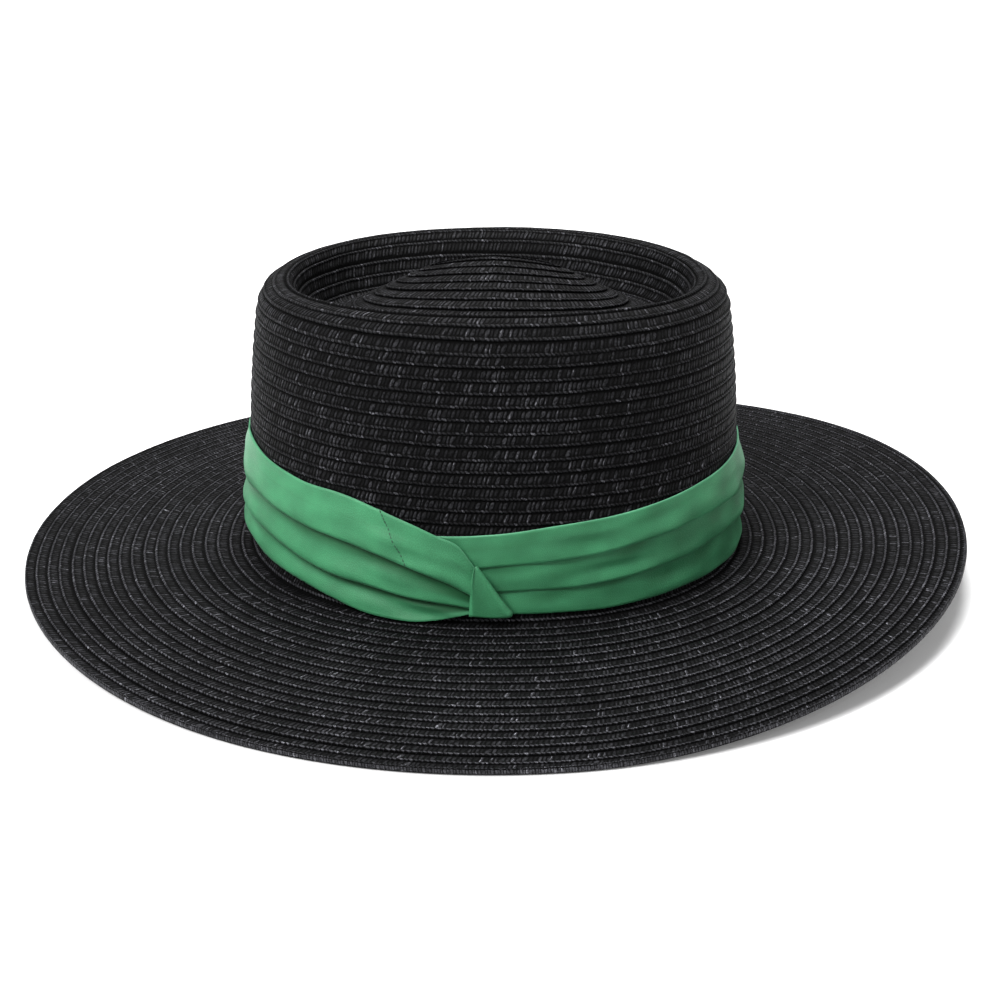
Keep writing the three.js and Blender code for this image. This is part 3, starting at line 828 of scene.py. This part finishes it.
# ---------------------------------------------------------------- settings
class HatStrawSettings(bpy.types.PropertyGroup):
    """Sizes and colour of the straw braid."""

    steps: bpy.props.IntProperty(
        name="Steps", description="Facets in one turn of the braid", default=256, min=32
    )
    stroke: bpy.props.FloatProperty(
        name="Stroke", description="Spacing of the straw bundles along the braid, mm", default=1.62
    )
    slant: bpy.props.FloatProperty(
        name="Slant", description="Lean of the bundles, in bundles per row", default=0.95
    )
    cord_start: bpy.props.FloatProperty(
        name="Cord start", description="Where across the row the cord begins", default=0.72
    )
    weave_depth: bpy.props.FloatProperty(
        name="Weave depth", description="Relief of the weave", default=0.0006,
        subtype="DISTANCE", unit="LENGTH",
    )
    colour: bpy.props.FloatVectorProperty(
        name="Straw colour", description="Dyed paper straw", subtype="COLOR", size=3,
        default=(0.0112, 0.0112, 0.0126), min=0.0, max=1.0,
    )


class HatSatinSettings(bpy.types.PropertyGroup):
    """Sizes and colour of the satin strip."""

    steps: bpy.props.IntProperty(
        name="Steps", description="Facets along the strip", default=560, min=60
    )
    ribs: bpy.props.FloatProperty(
        name="Ribs", description="Twill ribs per millimetre", default=1.25
    )
    roughness: bpy.props.FloatProperty(
        name="Roughness", description="Spread of the satin's highlight", default=0.40,
        min=0.0, max=1.0,
    )
    colour: bpy.props.FloatVectorProperty(
        name="Satin colour", description="Green of the cloth", subtype="COLOR", size=3,
        default=(0.046, 0.232, 0.104), min=0.0, max=1.0,
    )


class HatStageSettings(bpy.types.PropertyGroup):
    """Camera and light."""

    distance: bpy.props.FloatProperty(
        name="Camera distance", description="From the point looked at", default=0.54,
        subtype="DISTANCE", unit="LENGTH",
    )
    elevation: bpy.props.FloatProperty(
        name="Camera elevation", description="Above the horizon", default=np.radians(23.22),
        subtype="ANGLE", unit="ROTATION",
    )
    lens: bpy.props.FloatProperty(
        name="Lens", description="Focal length on a 36 mm frame", default=46.42,
    )
    light: bpy.props.FloatProperty(
        name="Light", description="Strength of the studio lamps", default=1.0, min=0.0
    )


# ---------------------------------------------------------------- operators
def dress(piece, material, replaces=()):
    """Gives a piece its material and body, and hides the parts it replaces."""
    piece.data.materials.append(material)
    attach(piece, "root")
    if replaces:
        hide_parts(*replaces)


class HAT_OT_crown(bpy.types.Operator):
    """Lays the braid rows of the crown, outside and inside"""

    bl_idname = "hat.crown"
    bl_label = "Crown"

    def execute(self, context):
        straw = context.scene.hat_straw
        material = straw_material("black_straw_crown", straw)
        outside = braid_rows(
            "crown_rows", crown_face, 0.0, COLLAR_ROW, straw.steps, straw.stroke,
            shift=-0.33, proud=CREST_ROW,
        )
        dress(outside, material, ["crown"])
        inside = braid_rows(
            "crown_inside", crown_face, 0.0, COLLAR_ROW, straw.steps // 2, straw.stroke,
            inside=True, depth=1.9, relief=0.7,
        )
        inside.data.flip_normals()
        dress(inside, material)
        return {"FINISHED"}


def edge_cord(stroke):
    """Finished edge of the brim: a half-round section carried round it, swelling once per bead."""
    beads = int(round(1150.0 / stroke))
    steps = beads * 4
    angle = np.linspace(0.0, TURN, steps, endpoint=False)[:, None]
    bend = np.linspace(-0.42, 1.30, 9)[None, :] * np.pi
    centre = brim_face(np.full_like(angle, BRIM_ROWS), angle)
    inner = brim_face(np.full_like(angle, BRIM_ROWS - 0.2), angle)
    out = centre - inner
    out = out / np.linalg.norm(out, axis=-1, keepdims=True)
    up = face_normal(brim_face, np.full_like(angle, BRIM_ROWS - 0.1), angle)
    thick = 1.0 + 0.09 * np.abs(np.sin(np.arange(steps)[:, None] * np.pi / 4.0))
    thick = thick * (1.0 + 0.08 * waver(angle * 23.0, 21))
    push = np.cos(bend - 0.44 * np.pi) * 0.60 * thick
    rise = -np.sin(bend - 0.44 * np.pi) * 1.02 * thick - 0.78
    points = centre + out * (push - 0.45)[..., None] + up * rise[..., None]
    uv = stack(np.arange(steps)[:, None] / 2.2, 0.745 + 0.23 * np.linspace(0, 1, 9)[None, :], 0.0)
    quads = grid_faces(steps, 9, wrap_rows=True)
    return make_piece("brim_edge_cord", points.reshape(-1, 3), quads, uv[..., :2].reshape(-1, 2))


class HAT_OT_brim(bpy.types.Operator):
    """Lays the braid rows of the brim, above and below, and its finished edge"""

    bl_idname = "hat.brim"
    bl_label = "Brim"

    def execute(self, context):
        straw = context.scene.hat_straw
        # Painted light: the brim's copy of the straw is painted 1.38 times lighter than the crown's,
        # with its cords paler still, as the brim faces the lamps.
        material = straw_material(
            "black_straw_brim", straw, 1.38, cord=1.9, cord_highlight_amount=0.8, patchiness=0.5
        )
        above = braid_rows("brim_rows", brim_face, 0.0, BRIM_ROWS, straw.steps * 3 // 2, straw.stroke)
        dress(above, material, ["brim"])
        below = braid_rows(
            "brim_underside", brim_face, 0.0, BRIM_ROWS, straw.steps, straw.stroke,
            inside=True, depth=1.75, relief=0.45,
        )
        below.data.flip_normals()
        dress(below, material)
        dress(edge_cord(straw.stroke), material)
        return {"FINISHED"}


class HAT_OT_band(bpy.types.Operator):
    """Folds the satin strip round the crown, with its seam and the knot"""

    bl_idname = "hat.band"
    bl_label = "Satin band"

    def execute(self, context):
        satin = context.scene.hat_satin
        material = satin_material("green_satin", satin)
        strip, width, length = satin_strip(satin.steps)
        dress(strip, material, ["band"])
        knot = satin_knot()
        dress(knot, material, ["band_knot"])
        thread, w, shader = new_material("dark_green_thread")
        noise = w.node("ShaderNodeTexNoise", {"Scale": 900.0, "Detail": 2.0})
        w.feed(noise.inputs["Vector"], w.node("ShaderNodeTexCoord").outputs["Object"])
        shade = w.mix_colours(noise.outputs[0], (0.006, 0.035, 0.018, 1), (0.02, 0.10, 0.05, 1))
        w.feed(shader.inputs["Base Color"], shade)
        shader.inputs["Roughness"].default_value = 0.6
        dress(seam_stitches(), thread)
        return {"FINISHED"}


class HAT_OT_stage(bpy.types.Operator):
    """Sets the floor, the studio lamps and the camera"""

    bl_idname = "hat.stage"
    bl_label = "Stage"

    def execute(self, context):
        scene, stage = context.scene, context.scene.hat_stage
        across = np.linspace(-12.0, 12.0, 9)[:, None]
        away = np.linspace(-12.0, 24.0, 13)[None, :]
        points = stack(across, away, 0.0).reshape(-1, 3) / MM
        floor = make_piece("studio_floor", points, grid_faces(9, 13, flip=True))
        paper, w, shader = new_material("glowing_white_floor")
        place = w.node("ShaderNodeTexCoord").outputs["Object"]
        noise = w.node("ShaderNodeTexNoise", {"Scale": 3.0, "Detail": 2.0})
        w.feed(noise.inputs["Vector"], place)
        tint = w.mix_colours(noise.outputs[0], (0.90, 0.90, 0.90, 1), (0.93, 0.93, 0.93, 1))
        w.feed(shader.inputs["Base Color"], tint)
        # Painted light: the floor glows, faintly near the hat and nearly white further off, so it reads
        # white and also lights the hat a little from below.
        from_hat = w.node("ShaderNodeVectorMath", {0: place}, operation="LENGTH").outputs["Value"]
        glow = w.ease(from_hat, 0.3, 1.6, 0.10, 0.95)
        w.feed(
            shader.inputs["Emission Color"],
            w.node("ShaderNodeCombineColor", {0: glow, 1: glow, 2: glow}).outputs[0],
        )
        shader.inputs["Emission Strength"].default_value = 1.0
        shader.inputs["Roughness"].default_value = 0.9
        shader.inputs["Specular IOR Level"].default_value = 0.1
        floor.data.materials.append(paper)

        world = bpy.data.worlds.new("studio_air")
        scene.world = world
        world.use_nodes = True
        air = world.node_tree.nodes["Background"]
        air.inputs["Color"].default_value = (1.0, 1.0, 1.0, 1.0)
        air.inputs["Strength"].default_value = 0.27 * stage.light
        self.lamp("key_softbox", (-1.05, -0.75, 1.5), 0.7, 38.0 * stage.light)
        self.lamp("fill_softbox", (1.3, -0.4, 0.9), 0.9, 4.0 * stage.light)
        self.lamp("top_softbox", (0.0, 0.45, 1.7), 0.8, 41.0 * stage.light)

        camera = bpy.data.cameras.new("hat_camera")
        camera.lens, camera.sensor_width = stage.lens, 36.0
        holder = bpy.data.objects.new("hat_camera", camera)
        scene.collection.objects.link(holder)
        target = Vector((0.0025, 0.0, 0.0092 + REST_HEIGHT * MM))
        back = Vector((0.0, -np.cos(stage.elevation), np.sin(stage.elevation)))
        holder.location = target + back * stage.distance
        holder.rotation_euler = back.to_track_quat("Z", "Y").to_euler()
        scene.camera = holder
        scene.view_settings.view_transform = "Standard"
        return {"FINISHED"}

    @staticmethod
    def lamp(name, place, size, power):
        """Square area lamp at a place, aimed at the hat."""
        data = bpy.data.lights.new(name, "AREA")
        data.shape, data.size, data.energy = "SQUARE", size, power
        holder = bpy.data.objects.new(name, data)
        bpy.context.scene.collection.objects.link(holder)
        holder.location = place
        aim = Vector((0.0, 0.0, 0.05)) - Vector(place)
        holder.rotation_euler = aim.to_track_quat("-Z", "Y").to_euler()


class HAT_PT_panel(bpy.types.Panel):
    """Sizes, colours and build buttons of the straw hat"""

    bl_label = "Straw Boater Hat"
    bl_idname = "HAT_PT_panel"
    bl_space_type = "VIEW_3D"
    bl_region_type = "UI"
    bl_category = "Hat"

    def draw(self, context):
        for title, settings, operators in (
            ("Straw", context.scene.hat_straw, ("hat.crown", "hat.brim")),
            ("Satin", context.scene.hat_satin, ("hat.band",)),
            ("Stage", context.scene.hat_stage, ("hat.stage",)),
        ):
            box = self.layout.box()
            box.label(text=title)
            for key in settings.__annotations__:
                box.prop(settings, key)
            for operator in operators:
                box.operator(operator)


CLASSES = (
    HatStrawSettings,
    HatSatinSettings,
    HatStageSettings,
    HAT_OT_crown,
    HAT_OT_brim,
    HAT_OT_band,
    HAT_OT_stage,
    HAT_PT_panel,
)


def register():
    for item in CLASSES:
        bpy.utils.register_class(item)
    bpy.types.Scene.hat_straw = bpy.props.PointerProperty(type=HatStrawSettings)
    bpy.types.Scene.hat_satin = bpy.props.PointerProperty(type=HatSatinSettings)
    bpy.types.Scene.hat_stage = bpy.props.PointerProperty(type=HatStageSettings)


def unregister():
    del bpy.types.Scene.hat_stage
    del bpy.types.Scene.hat_satin
    del bpy.types.Scene.hat_straw
    for item in reversed(CLASSES):
        bpy.utils.unregister_class(item)


def main():
    register()
    bpy.ops.hat.crown()
    bpy.ops.hat.brim()
    bpy.ops.hat.band()
    bpy.ops.hat.stage()


if __name__ == "__main__":
    main()
